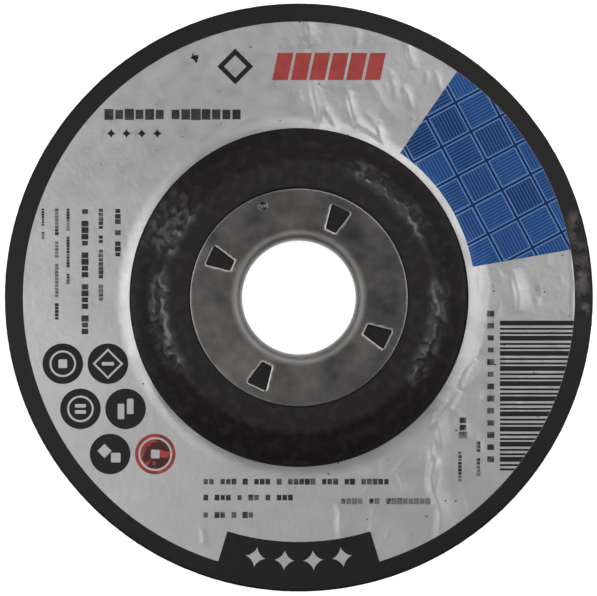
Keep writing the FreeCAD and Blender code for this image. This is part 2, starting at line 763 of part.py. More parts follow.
make_sheet()
INK_SKIN = make_ink_skin()
SUB_PARTS = [
    make_abrasive_body(),
    make_center_ring(),
    make_paper_label(),
    make_border_print(),
    make_blue_panel_print(),
    print_blocks("red_print", make_red_blocks(), make_flat_ink_skin()),
    print_blocks("dark_print", make_dark_blocks(), INK_SKIN),
    print_blocks("text_print", make_text_blocks(), INK_SKIN),
]
document.recompute()
check_document(SUB_PARTS)
write_parts(SUB_PARTS)
for part in SUB_PARTS:
    print(part.Label, len(part.Shape.Solids), "solids", round(part.Shape.Volume, 2), "mm3")
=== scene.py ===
# Depressed-centre grinding disc, 115 x 6 x 22.23 mm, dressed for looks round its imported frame.
# It lies on its grinding face with the label and the raised hub up, seen from straight above.
import math
import random

import bmesh
import bpy
import numpy as np
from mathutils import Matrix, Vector
from mathutils.geometry import delaunay_2d_cdt


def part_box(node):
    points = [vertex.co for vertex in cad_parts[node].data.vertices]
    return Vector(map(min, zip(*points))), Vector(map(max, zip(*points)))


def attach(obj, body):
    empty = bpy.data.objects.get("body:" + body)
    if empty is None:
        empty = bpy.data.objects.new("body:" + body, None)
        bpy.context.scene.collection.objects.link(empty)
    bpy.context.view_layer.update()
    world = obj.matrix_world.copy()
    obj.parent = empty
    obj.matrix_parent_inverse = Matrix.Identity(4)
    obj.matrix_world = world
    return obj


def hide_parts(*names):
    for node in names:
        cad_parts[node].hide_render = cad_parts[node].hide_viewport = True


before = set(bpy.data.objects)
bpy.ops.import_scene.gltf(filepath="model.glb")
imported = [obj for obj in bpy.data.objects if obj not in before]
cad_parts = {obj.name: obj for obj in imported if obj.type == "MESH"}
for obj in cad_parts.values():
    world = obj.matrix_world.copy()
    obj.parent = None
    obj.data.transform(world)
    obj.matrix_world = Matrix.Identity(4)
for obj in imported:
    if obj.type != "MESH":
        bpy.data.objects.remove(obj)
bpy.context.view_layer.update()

# Moulded abrasive body
# Corundum grain in black phenolic resin, pressed in a mould over glass-fibre net and cured as one
# piece. The hub is rich in resin and glossy in lumps; the rim and the grinding face show the grain.
MM = 0.001
body_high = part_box("abrasive_body")[1]
disc_radius, hub_top = min(body_high.x, body_high.y) / MM, body_high.z / MM
disc_thickness, hub_thickness, recess_depth, seat_depth = 6.0, 5.4, 4.6, 0.45
body_bore, seat_radius, hub_land = 11.735, 21.1, 5.42
chamfer_width, chamfer_height, seat_round = 0.6, 0.9, 0.1
slope, slope_wall = math.radians(32), 5.2
shoulder_round, foot_round, recess_round, mouth_round, rim_round = 4.0, 10.0, 3.0, 4.0, 0.35
hub_corner = seat_radius + hub_land
foot_corner = hub_corner + (hub_top - disc_thickness) / math.tan(slope)
floor_corner = hub_corner - (slope_wall / math.cos(slope) - hub_thickness) / math.tan(slope)
mouth_corner = floor_corner + recess_depth / math.tan(slope)
label_inner, label_outer = foot_corner + 0.08, disc_radius - 0.6
flat_start = foot_corner + foot_round * math.tan(slope / 2)
seat_height = hub_top - seat_depth
body_segments = 560
grain_width, grain_depth = 0.75, 0.16
lump_width, lump_depth = 1.9, 0.17
net_pitch, net_depth = 4.2, 0.12
relief_seed = 3.0
# The hub's shoulder is lumpy in these arcs, where its material also paints a lighter grey as a
# painted highlight: from and to in degrees, and how far out they reach.
lumpy_arcs = ((30, 62, 28.8), (-32, 3, 28.8), (144, 158, 32.0), (174, 206, 29.0))
arc_fade, reach_fade, smooth_share = 5, 0.8, 0.1


def rounded_outline(corners, bend_step=0.35):
    """Points of a closed outline; a corner is x, y, its round's radius and the step after it."""
    places = [Vector(corner[:2]) for corner in corners]
    bends = []
    for index, (*_, radius, step) in enumerate(corners):
        before = (places[index] - places[index - 1]).normalized()
        after = (places[(index + 1) % len(places)] - places[index]).normalized()
        turn = math.atan2(before.cross(after), before.dot(after))
        side = Vector((-before.y, before.x)) * math.copysign(radius, turn)
        centre = places[index] - before * (radius * math.tan(abs(turn) / 2)) + side
        parts = max(1, math.ceil(radius * abs(turn) / bend_step)) if radius else 0
        bend = []
        for part in range(parts + 1):
            cosine = math.cos(turn * part / max(parts, 1))
            sine = math.sin(turn * part / max(parts, 1))
            bend.append(centre + Vector((
                side.y * sine - side.x * cosine, -side.x * sine - side.y * cosine,
            )))
        bends.append((bend, step))
    points = []
    for index, (bend, step) in enumerate(bends):
        points += bend
        start, end = bend[-1], bends[(index + 1) % len(bends)][0][0]
        pieces = max(1, round((end - start).length / step))
        points += [start.lerp(end, piece / pieces) for piece in range(1, pieces)]
    return np.array([point[:2] for point in points])


def circle(radius, count, centre=(0, 0)):
    """Points of a circle, anticlockwise from +X."""
    angles = np.arange(count) * 2 * math.pi / count
    return np.stack([radius * np.cos(angles), radius * np.sin(angles)], axis=1) + centre


def raised(points, height):
    """Points of the plane at a height, which may differ from point to point."""
    return np.column_stack([points, np.broadcast_to(height, len(points))])


def band(loops, closed=False):
    """Strip of four-sided faces through a row of loops that have as many points each."""
    count, total = len(loops[0]), len(loops[0]) * len(loops)
    here, turn = np.arange(0, total if closed else total - count, count)[:, None], np.arange(count)
    ahead, after = (turn + 1) % count, (here + count) % total
    faces = np.stack([here + turn, here + ahead, after + ahead, after + turn], axis=2)
    return np.concatenate(loops), faces.reshape(-1, 4)


def turned(outline, segments):
    """Vertices and faces of a closed outline of radius and height, turned about Z."""
    return band([raised(circle(radius, segments), height) for radius, height in outline], True)


def make_piece(name, vertices, faces):
    """Object with this mesh, given in millimetres, at the origin."""
    mesh = bpy.data.meshes.new(name)
    faces = [tuple(map(int, face)) for face in faces]
    mesh.from_pydata((np.asarray(vertices) * MM).tolist(), [], faces)
    mesh.validate()
    mesh.shade_smooth()
    piece = bpy.data.objects.new(name, mesh)
    bpy.context.scene.collection.objects.link(piece)
    return piece


def mark(piece, name, values, kind="FLOAT"):
    """Give each point of a piece a measure that its nodes or its material read."""
    attribute = piece.data.attributes.new(name, kind, "POINT")
    values = np.ravel(values).astype(np.float32)
    attribute.data.foreach_set("value" if kind == "FLOAT" else "vector", values)


def ramp(values, start, end):
    """0 at start and 1 at end, straight between them."""
    return np.clip((values - start) / (end - start), 0, 1)


def linear(code):
    """Linear colour of an sRGB hex value."""
    values = [int(code[place:place + 2], 16) / 255 for place in (1, 3, 5)]
    return (*[((v + 0.055) / 1.055) ** 2.4 if v > 0.04045 else v / 12.92 for v in values], 1.0)


def feed(tree, node, inputs):
    """Set a node's inputs; each is a value, or an output socket to link."""
    for socket, value in inputs.items():
        if isinstance(value, bpy.types.NodeSocket):
            tree.links.new(value, node.inputs[socket])
        else:
            node.inputs[socket].default_value = value


def add_node(tree, kind, inputs=None, **settings):
    """Add a node with its settings and its links; returns its outputs."""
    node = tree.nodes.new(kind)
    for name, value in settings.items():
        setattr(node, name, value)
    feed(tree, node, inputs or {})
    return node.outputs


def start_shape_tree(name, sizes, seed_type):
    """Geometry Nodes tree that takes a shape, these sizes, a seed and a material."""
    tree = bpy.data.node_groups.new(name, "GeometryNodeTree")
    tree.interface.new_socket("Geometry", in_out="OUTPUT", socket_type="NodeSocketGeometry")
    for socket, kind in (
        ("Geometry", "NodeSocketGeometry"), *[(size, "NodeSocketFloat") for size in sizes],
        ("Seed", seed_type), ("Material", "NodeSocketMaterial"),
    ):
        tree.interface.new_socket(socket, in_out="INPUT", socket_type=kind)
    return tree, add_node(tree, "NodeGroupInput")


def end_shape_tree(tree, shape, material):
    """The tree's result: the shape made real, in its material."""
    real = add_node(tree, "GeometryNodeRealizeInstances", {"Geometry": shape})[0]
    painted = add_node(tree, "GeometryNodeSetMaterial", {"Geometry": real, "Material": material})
    add_node(tree, "NodeGroupOutput", {0: painted[0]})
    return tree


def keep_nodes_result(piece, tree, values):
    """Run a Geometry Nodes tree on the piece with these named inputs and keep the mesh it makes."""
    modifier = piece.modifiers.new(tree.name, "NODES")
    modifier.node_group = tree
    for item in tree.interface.items_tree:
        if item.name in values:
            modifier[item.identifier] = values[item.name]
    bpy.context.view_layer.update()
    evaluated = piece.evaluated_get(bpy.context.evaluated_depsgraph_get())
    result = bpy.data.meshes.new_from_object(evaluated)
    piece.modifiers.clear()
    piece.data = result


def start_material(name):
    """Node material; returns it with its tree and its Object coordinates."""
    material = bpy.data.materials.new(name)
    material.use_nodes = True
    place = add_node(material.node_tree, "ShaderNodeTexCoord")["Object"]
    return material, material.node_tree, place


def uneven(tree, place, width, detail, low=0.0, high=1.0, coarse=0.5, start=0.3, end=0.7):
    """A measure that wanders from low to high over patches of this width in millimetres."""
    patches = add_node(tree, "ShaderNodeTexNoise", {
        "Vector": place, "Scale": 1 / (width * MM), "Detail": detail, "Roughness": coarse,
    })[0]
    return add_node(tree, "ShaderNodeMapRange", {
        "Value": patches, "From Min": start, "From Max": end, "To Min": low, "To Max": high,
    })[0]


def finish_surface(tree, place, tone, layers, skin, inputs):
    """Lay colours over a tone and feed it to the shader with a fine uneven skin and its inputs.

    A layer is its share and its hex value; the skin is its width, detail, strength and depth.
    """
    for share, code in layers:
        tone = add_node(tree, "ShaderNodeMix", {
            "Factor": share, 6: tone, 7: linear(code),
        }, data_type="RGBA")[2]
    width, detail, strength, depth = skin
    specks = add_node(tree, "ShaderNodeTexNoise", {
        "Vector": place, "Scale": 1 / (width * MM), "Detail": detail,
    })[0]
    bump = add_node(tree, "ShaderNodeBump", {
        "Height": specks, "Strength": strength, "Distance": depth * MM,
    })[0]
    feed(tree, tree.nodes["Principled BSDF"], {"Base Color": tone, "Normal": bump, **inputs})


def from_lines(tree, squares):
    """How far a place is along X and Y from the nearest whole number, which is 0 to a half."""
    sides = add_node(tree, "ShaderNodeVectorMath", {
        0: squares, 1: (0.5, 0.5, 0.5), 2: (-0.5, -0.5, -0.5),
    }, operation="WRAP")[0]
    sides = add_node(tree, "ShaderNodeVectorMath", {0: sides}, operation="ABSOLUTE")[0]
    return add_node(tree, "ShaderNodeSeparateXYZ", {0: sides})


def make_relief_tree():
    """Geometry Nodes: sink the skin between grains, lumps and net threads, never outwards."""
    tree, given = start_shape_tree("pressed_relief", (
        "Grain width", "Grain depth", "Lump width", "Lump depth", "Net pitch", "Net depth",
    ), "NodeSocketFloat")
    place = add_node(tree, "GeometryNodeInputPosition")[0]
    grain_scale, lump_scale, net_scale = (
        add_node(tree, "ShaderNodeMath", {0: 1.0, 1: given[name]}, operation="DIVIDE")[0]
        for name in ("Grain width", "Lump width", "Net pitch")
    )
    grains = add_node(tree, "ShaderNodeTexVoronoi", {
        "Vector": place, "W": given["Seed"], "Scale": grain_scale,
    }, voronoi_dimensions="4D")["Distance"]
    lumps = add_node(tree, "ShaderNodeTexNoise", {
        "Vector": place, "W": given["Seed"], "Scale": lump_scale, "Detail": 1.0, "Roughness": 0.4,
    }, noise_dimensions="4D")[0]
    hollows = add_node(tree, "ShaderNodeMapRange", {
        "Value": lumps, "From Min": 0.38, "From Max": 0.62, "To Min": 1.0, "To Max": 0.0,
    }, interpolation_type="SMOOTHSTEP")[0]
    # The net's threads cross in squares: 1 on a thread and 0 in the middle between two.
    squares = add_node(tree, "ShaderNodeVectorMath", {
        0: place, "Scale": net_scale,
    }, operation="SCALE")[0]
    sides = from_lines(tree, squares)
    thread = add_node(tree, "ShaderNodeMath", {0: sides[0], 1: sides[1]}, operation="MAXIMUM")[0]
    thread = add_node(tree, "ShaderNodeMath", {0: thread, 1: 5.0}, operation="POWER")[0]
    meshes = add_node(tree, "ShaderNodeMath", {
        0: thread, 1: -(2.0 ** 5), 2: 1.0,
    }, operation="MULTIPLY_ADD")[0]
    total = 0.0
    for pattern, depth, name in (
        (grains, "Grain depth", "grain_share"),
        (hollows, "Lump depth", "lump_and_glint_share"),
        (meshes, "Net depth", "net_share"),
    ):
        share = add_node(tree, "GeometryNodeInputNamedAttribute", {"Name": name})["Attribute"]
        deep = add_node(tree, "ShaderNodeMath", {0: given[depth], 1: share}, operation="MULTIPLY")
        total = add_node(tree, "ShaderNodeMath", {
            0: pattern, 1: deep[0], 2: total,
        }, operation="MULTIPLY_ADD")[0]
    inward = add_node(tree, "ShaderNodeMath", {0: total, 1: -1.0}, operation="MULTIPLY")[0]
    offset = add_node(tree, "ShaderNodeVectorMath", {
        0: add_node(tree, "GeometryNodeInputNormal")[0], "Scale": inward,
    }, operation="SCALE")[0]
    sunk = add_node(tree, "GeometryNodeSetPosition", {
        "Geometry": given["Geometry"], "Offset": offset,
    })[0]
    return end_shape_tree(tree, sunk, given["Material"])


def make_bonded_grain():
    """Resin-bonded corundum, moulded: near black, glossy where resin pools, with a painted
    highlight of lighter grey on the shoulder's lumps.
    """
    material, tree, place = start_material("resin_bonded_corundum")
    cells = add_node(tree, "ShaderNodeTexVoronoi", {
        "Vector": place, "Scale": 1 / (0.6 * grain_width * MM),
    })
    tint = add_node(tree, "ShaderNodeSeparateColor", {0: cells["Color"]})[0]
    pools = add_node(tree, "ShaderNodeTexNoise", {
        "Vector": place, "W": relief_seed, "Scale": 1 / (lump_width * MM),
        "Detail": 1.0, "Roughness": 0.4,
    }, noise_dimensions="4D")[0]
    lumpy = add_node(tree, "ShaderNodeAttribute", attribute_name="lump_and_glint_share")["Fac"]
    tint, painted_glint_share, gloss, shine = (
        add_node(tree, "ShaderNodeMapRange", {
            "Value": value, "From Min": start, "From Max": end, "To Min": low, "To Max": high,
        })[0]
        for value, start, end, low, high in (
            (tint, 0.55, 1.0, 0.0, 1.0), (pools, 0.5, 0.66, 0.0, 1.0),
            (pools, 0.42, 0.56, 0.05, 0.3), (lumpy, 0.0, 1.0, 0.27, 0.6),
        )
    )
    painted_glint_share, gloss = (
        add_node(tree, "ShaderNodeMath", {0: share, 1: lumpy}, operation="MULTIPLY")[0]
        for share in (painted_glint_share, gloss)
    )
    dull = add_node(tree, "ShaderNodeMath", {0: 0.5, 1: gloss}, operation="SUBTRACT")[0]
    # The lighter grey on the lumps of the hub's shoulder is a painted highlight that stands in for
    # glints.
    finish_surface(
        tree, place, linear("#120D0C"), ((tint, "#1C1614"), (painted_glint_share, "#595756")),
        (0.3, 3.0, 0.35, 0.08), {"Roughness": dull, "Specular IOR Level": shine})
    return material


vertices, faces = turned(rounded_outline([
    (body_bore, recess_depth, 0, 0.65),
    (floor_corner, recess_depth, recess_round, 0.5),
    (mouth_corner, 0, mouth_round, 0.55),
    (disc_radius, 0, rim_round, 0.36),
    (disc_radius, disc_thickness, rim_round, 0.3),
    (label_outer, disc_thickness, 0, 4.0),
    (foot_corner, disc_thickness, foot_round, 0.36),
    (hub_corner, hub_top, shoulder_round, 0.34),
    (seat_radius, hub_top, seat_round, 0.3),
    (seat_radius, seat_height, 0, 1.2),
    (body_bore + chamfer_width, seat_height, 0, 1.0),
    (body_bore, seat_height - chamfer_height, 0, 2.0),
]), body_segments)
abrasive_body = make_piece("abrasive_body_moulded", vertices, faces)
x, y, height = vertices.T
reach, turn = np.hypot(x, y), np.degrees(np.arctan2(y, x))
on_hub = (height > disc_thickness + 0.05) & (reach > seat_radius + seat_round)
hub_edge = ramp(reach, seat_radius, seat_radius + 0.8) * ramp(reach, label_inner, label_inner - 0.5)
on_rim = reach > label_outer + 0.1
underneath = (height < recess_depth + 0.1) & (reach > body_bore + 0.4)
in_seat = (np.abs(height - seat_height) < 0.01) & (reach > body_bore + 1.0) & (reach < seat_radius)
lumpy = np.zeros(len(vertices))
for start, end, outer in lumpy_arcs:
    beyond = np.abs((turn - (start + end) / 2 + 180) % 360 - 180) - (end - start) / 2
    across = ramp(reach, outer + reach_fade, outer - reach_fade)
    lumpy += np.exp(-np.clip(beyond / arc_fade, 0, 9) ** 2) * across
lumpy = smooth_share + (1 - smooth_share) * lumpy * ramp(reach, 24.6, 26.0)
for name, values in (
    ("grain_share", on_hub * hub_edge * 0.12 + on_rim * 0.5 + underneath * 1.0 + in_seat * 0.7),
    ("lump_and_glint_share", on_hub * hub_edge * lumpy),
    ("net_share", underneath * ramp(reach, body_bore, body_bore + 2)),
):
    mark(abrasive_body, name, np.minimum(values, 1))
keep_nodes_result(abrasive_body, make_relief_tree(), {
    "Grain width": grain_width * MM, "Grain depth": grain_depth * MM,
    "Lump width": lump_width * MM, "Lump depth": lump_depth * MM,
    "Net pitch": net_pitch * MM, "Net depth": net_depth * MM,
    "Seed": relief_seed, "Material": make_bonded_grain(),
})
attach(abrasive_body, "root")
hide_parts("abrasive_body")

# Pressed steel ring
# Cold-rolled sheet, 0.6 mm, stamped in one stroke: flat flange, lip rolled down into the bore, four
# windows whose metal is folded down as claws. It is pressed into the body as that cures.
sheet, flange_radius, bore_radius, bend_radius = 0.6, 21.0, 11.115, 1.5
flange_top = hub_top + 0.15
lip_end = recess_depth + 0.3
edge_round, shear_round, fold_round = 0.2, 0.14, 0.4
window_angles = [math.radians(64.5 + 90 * place) for place in range(4)]
window_inner, window_outer, window_narrow, window_wide, window_corner = 14.2, 18.9, 2.1, 4.0, 0.3
claw_end = recess_depth + 1.15
dimple_angle, dimple_reach, dimple_width, dimple_depth = math.radians(111.5), 18.9, 0.66, 0.3
press_dish, press_wave, press_lean = 0.085, 0.03, math.radians(218)
ring_segments = 320
dimple_place = dimple_reach * np.array([math.cos(dimple_angle), math.sin(dimple_angle)])
dimple_rings, dimple_step, dimple_clear = 9, 0.15, 1.4


def inside(points, loops):
    """Even-odd test of points against closed loops."""
    x, y = points.T
    crossed = np.zeros(len(points), dtype=bool)
    for loop in loops:
        start, end = np.asarray(loop), np.roll(np.asarray(loop), -1, axis=0)
        for (x1, y1), (x2, y2) in zip(start, end):
            if y1 != y2:
                left = x < x1 + (y - y1) * (x2 - x1) / (y2 - y1)
                crossed ^= left & ((y < y1) != (y < y2))
    return crossed


def grid_inside(loops, step):
    """Points of a staggered grid that lie inside an even-odd set of loops."""
    every = np.concatenate([np.asarray(loop) for loop in loops])
    low, high = every.min(axis=0), every.max(axis=0)
    rows = np.arange(low[1] + step / 2, high[1], step * 0.87)
    points = [
        (x, y)
        for row, y in enumerate(rows)
        for x in np.arange(low[0] + step * (0.3 + 0.5 * (row % 2)), high[0], step)
    ]
    points = np.array(points).reshape(-1, 2)
    return points[inside(points, loops)]


def filled(loops, extra):
    """Corner points and triangles, anticlockwise, that fill an even-odd set of closed loops."""
    points, edges = [], []
    for loop in loops:
        first = len(points)
        points += map(Vector, loop)
        edges += [(first + i, first + (i + 1) % len(loop)) for i in range(len(loop))]
    points += map(Vector, extra)
    corners, _, triangles, *_ = delaunay_2d_cdt(points, edges, [], 1, 1e-5, False)
    corners, triangles = np.array(corners), np.array(triangles)
    return corners, triangles[inside(corners[triangles].mean(axis=1), loops)]


def turn_points(points, angle):
    """Points turned about the origin."""
    cosine, sine = math.cos(angle), math.sin(angle)
    x, y = points.T
    return np.column_stack([x * cosine - y * sine, x * sine + y * cosine])


window = rounded_outline([
    (window_inner, -window_narrow / 2, window_corner, 0.3),
    (window_outer, -window_wide / 2, window_corner, 0.3),
    (window_outer, window_wide / 2, window_corner, 0.3),
    (window_inner, window_narrow / 2, window_corner, 0.3),
], bend_step=0.12)


def window_loop(angle, share):
    """The window's outline, moved out by a share of the round at its edge; its fold is rounder."""
    before, after = np.roll(window, 1, axis=0), np.roll(window, -1, axis=0)
    along = after - before
    along /= np.linalg.norm(along, axis=1)[:, None]
    outward = np.stack([along[:, 1], -along[:, 0]], axis=1)
    fold = ramp(window[:, 0], window_outer - window_corner, window_outer)
    rounds = shear_round + (fold_round - shear_round) * fold
    return turn_points(window + outward * rounds[:, None] * share, angle), rounds


def joined(parts):
    """One array of vertices and one list of faces from several."""
    vertices, faces = [], []
    for part_vertices, part_faces in parts:
        faces += [np.add(face, len(vertices)) for face in part_faces]
        vertices += [*part_vertices]
    return np.array(vertices), faces


def ring_row(radius, height):
    """One circle of the ring's points."""
    return raised(circle(radius, ring_segments), height)


def ring_sheet():
    """Top, underside, rolled lip, edge and windows of the ring, as bands that share their ends."""
    bend_start, underside = bore_radius + bend_radius, flange_top - sheet
    top_edge = flange_radius - edge_round
    tops = [window_loop(angle, 1)[0] for angle in window_angles]
    bottoms = [window_loop(angle, 0)[0] for angle in window_angles]
    top_loops = [circle(top_edge, ring_segments), circle(bend_start, ring_segments), *tops]
    low_loops = [circle(flange_radius, ring_segments), circle(bend_start, ring_segments), *bottoms]
    extra = grid_inside(top_loops, 0.55)
    extra = np.concatenate([extra[np.hypot(*(extra - dimple_place).T) > dimple_clear]] + [
        circle(dimple_step * step, 4 + 5 * step, dimple_place) for step in range(dimple_rings)
    ])
    corners, triangles = filled(top_loops, extra)
    parts = [(raised(corners, flange_top), triangles)]
    corners, triangles = filled(low_loops, grid_inside(low_loops, 1.5))
    parts.append((raised(corners, underside), triangles[:, ::-1]))
    quarter = np.radians([0, 22.5, 45, 67.5, 90])
    for angle, bottom in zip(window_angles, bottoms):
        loops = []
        for bend in quarter:
            loop, rounds = window_loop(angle, 1 - math.sin(bend))
            loops.append(raised(loop, flange_top - rounds * (1 - math.cos(bend))))
        parts.append(band([*loops, raised(bottom, underside)]))
    edge = [
        ring_row(top_edge + edge_round * math.sin(bend),
                 flange_top - edge_round * (1 - math.cos(bend)))
        for bend in quarter
    ]
    parts.append(band([*edge, ring_row(flange_radius, underside)]))
    shown, hidden = (
        [
            ring_row(bend_start - radius * math.cos(bend),
                     flange_top - bend_radius + radius * math.sin(bend))
            for bend in np.radians(np.arange(90, -1, -7.5))
        ]
        for radius in (bend_radius, bend_radius - sheet)
    )
    ends = [ring_row(bore_radius, lip_end), ring_row(bore_radius + sheet, lip_end)]
    parts.append(band([*shown, *ends, *reversed(hidden)]))
    return parts


def claw(angle):
    """Plate folded down from the window's wide side, tapering to the width of its narrow side."""
    outline = rounded_outline([
        (-window_narrow / 2, claw_end, 0.3, 1.0),
        (window_narrow / 2, claw_end, 0.3, 1.0),
        (window_wide / 2, flange_top - sheet, 0, 1.0),
        (-window_wide / 2, flange_top - sheet, 0, 1.0),
    ])
    count = len(outline)
    vertices = []
    for reach in (window_outer, window_outer + sheet):
        across = np.column_stack([np.full(count, reach), outline[:, 0]])
        vertices.append(raised(turn_points(across, angle), outline[:, 1]))
    faces = [tuple(range(count)), tuple(range(2 * count - 1, count - 1, -1))]
    faces += [(i, i + count, (i + 1) % count + count, (i + 1) % count) for i in range(count)]
    return np.concatenate(vertices), faces


def press_shape(vertices):
    """Sink the sheet a little where the press left it wavy, and at the dimple."""
    x, y, height = vertices.T
    reach, angle = np.hypot(x, y), np.arctan2(y, x)
    wave = 1 + sum(
        share * np.sin(count * angle + start)
        for share, count, start in ((0.5, 2, 0.6), (0.3, 3, -1.1), (0.2, 7, 0))
    )
    outward = ramp(reach, bore_radius + bend_radius, flange_radius)
    lean = np.clip(np.cos(angle - press_lean), 0, 1) ** 2
    sunk = press_dish * (0.4 + lean) * outward + press_wave * wave / 2 * outward ** 2
    away = np.hypot(x - dimple_place[0], y - dimple_place[1])
    sunk += dimple_depth * np.exp(-(away / dimple_width) ** 4)
    return sunk * ramp(height, flange_top - 1.2, flange_top - sheet)


def points_of(piece):
    """A piece's points in millimetres."""
    points = np.empty(len(piece.data.vertices) * 3)
    piece.data.vertices.foreach_get("co", points)
    return points.reshape(-1, 3) / MM


def make_ring_steel():
    """Cold-rolled steel, stamped: dark, satin and clouded by oil, with a painted highlight of near
    white on its edges and rolled lip.
    """
    material, tree, place = start_material("stamped_dark_steel")
    second_tone, rolled = (
        add_node(tree, "ShaderNodeAttribute", attribute_name=name)["Fac"]
        for name in ("painted_edge_highlight", "rolled")
    )
    clouds = uneven(tree, place, 7, 5.0, coarse=0.6)
    smears = uneven(tree, place, 4.5, 3.0, 0.28, 0.36)
    dull = add_node(tree, "ShaderNodeMath", {
        0: rolled, 1: 0.24, 2: smears,
    }, operation="MULTIPLY_ADD")[0]
    # The second tone, near white, is a painted highlight on the flange's rim, the windows' edges
    # and, faintly, the lip.
    finish_surface(
        tree, place, linear("#4C4B4B"), ((clouds, "#7A7876"), (second_tone, "#DAD8D4")),
        (0.4, 2.0, 0.1, 0.02), {"Metallic": 1.0, "Roughness": dull})
    return material


vertices, faces = joined(ring_sheet() + [claw(angle) for angle in window_angles])
vertices[:, 2] -= press_shape(vertices)
center_ring = make_piece("center_ring_stamped", vertices, faces)
shell = bmesh.new()
shell.from_mesh(center_ring.data)
bmesh.ops.remove_doubles(shell, verts=shell.verts, dist=0.002 * MM)
bmesh.ops.recalc_face_normals(shell, faces=shell.faces)
shell.to_mesh(center_ring.data)
shell.free()
center_ring.data.shade_smooth()
center_ring.data.set_sharp_from_angle(angle=math.radians(40))
spots = points_of(center_ring)
reach = np.hypot(spots[:, 0], spots[:, 1])
rolled = ramp(reach, 13.2, 12.3)
# Painted highlight: near white on the flange's rim and the windows' top edges, and a little on the
# rolled lip.
painted_edge_highlight = np.maximum(0.26 * rolled, ramp(reach, flange_radius - 0.22, flange_radius))
for angle in window_angles:
    back = turn_points(spots[:, :2], -angle)
    away = np.linalg.norm(back[:, None] - window, axis=2).min(axis=1)
    painted_edge_highlight = np.maximum(painted_edge_highlight, ramp(away, 0.34, 0.1) * (spots[:, 2] > flange_top - 0.5))
mark(center_ring, "painted_edge_highlight", painted_edge_highlight)
mark(center_ring, "rolled", rolled)
center_ring.data.materials.append(make_ring_steel())
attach(center_ring, "root")
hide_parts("center_ring")

# Paper label
# Metallised silver paper, printed and varnished, laid on the back before the disc is pressed, so
# it follows the hub's foot, creases there and takes on the unevenness of the grain below it.
label_thickness = 0.25
label_segments, label_step = 940, 0.25
edge_reach, edge_wave = 3.4, 0.035
# On the right the paper bridges the hub's foot: how high it stands there, how far out it comes
# down, the angles in degrees between which it does so, and the width of its ends.
bridge_lift, bridge_reach, bridge_from, bridge_to = 0.42, 36.9, -52, 24
bridge_start, bridge_stop = 16, 12
# Each crease: start and end in x and y, its width and its height.
creases = [
    (3.0, 43.4, 3.3, 34.2, 1.1, 0.19),
    (10.1, 39.8, 10.8, 32.6, 0.9, 0.15),
    (13.8, 41.8, 17.4, 36.8, 0.7, 0.11),
    (5.4, 36.6, 6.9, 33.2, 0.7, 0.13),
    (11.4, 34.1, 16.8, 29.8, 0.9, 0.19),
    (12.8, 36.0, 16.2, 31.8, 0.7, 0.10),
    (20.7, 49.8, 22.3, 45.0, 0.7, 0.17),
    (20.2, 41.0, 21.7, 37.0, 0.7, 0.12),
    (11.4, 51.8, 11.1, 49.1, 0.5, 0.10),
    (1.3, 53.6, 2.1, 49.4, 1.1, 0.17),
    (17.8, 44.2, 18.6, 38.6, 0.7, 0.09),
    (26.5, 43.6, 27.6, 40.2, 0.5, 0.09),
    (35.2, 6.0, 34.9, 1.0, 0.5, 0.07),
    (42.3, 5.0, 42.5, -2.4, 1.1, 0.26),
    (52.9, 9.8, 53.4, 2.2, 0.4, 0.10),
    (53.4, 2.6, 53.2, -4.6, 0.4, 0.10),
    (34.2, -12.4, 31.4, -17.4, 0.9, 0.16),
    (31.2, -18.6, 25.6, -25.4, 0.9, 0.16),
    (26.2, -23.2, 28.2, -29.0, 1.2, 0.18),
    (25.0, -28.6, 28.2, -49.0, 1.5, 0.26),
    (30.6, -21.8, 32.9, -27.2, 0.6, 0.09),
    (19.0, -34.0, 20.5, -38.2, 0.6, 0.08),
    (7.3, -40.4, 8.7, -47.4, 1.2, 0.18),
    (-28.4, -16.4, -24.0, -23.6, 0.6, 0.11),
    (-19.0, -45.0, -18.8, -48.1, 0.5, 0.10),
    (-13.4, 33.3, -9.2, 34.8, 0.6, 0.08),
]
crumple = random.Random(11)
edge_waves = [
    (crumple.randint(5, 46), crumple.uniform(0, 2 * math.pi), crumple.uniform(0.3, 1.0))
    for _ in range(26)
]
swells = [
    (crumple.uniform(-1.1, 1.1), crumple.uniform(-0.7, 0.7), crumple.uniform(0, 2 * math.pi))
    for _ in range(12)
]
swell_height, small_crease_count, flank_ratio = 0.035, 110, 2.4
crease_sway, sway_rate, crease_shiver, shiver_rate = 0.3, 0.6, 0.04, 2.3
crest_round, crest_power, end_taper = 0.1, 1.4, 0.35
nick_place = (-20.3 * MM, 46.8 * MM, (disc_thickness + label_thickness) * MM)
# Short folds strewn over the right half, mostly running down it.
for _ in range(small_crease_count):
    angle, reach = math.radians(crumple.uniform(-80, 92)), crumple.uniform(34.5, 52)
    x, y = reach * math.cos(angle), reach * math.sin(angle)
    lean, length = math.radians(crumple.gauss(-90, 22)), crumple.uniform(0.8, 4.5)
    width = crumple.uniform(0.25, 0.6)
    creases.append((x, y, x + length * math.cos(lean), y + length * math.sin(lean), width,
                    width * crumple.uniform(0.05, 0.18)))


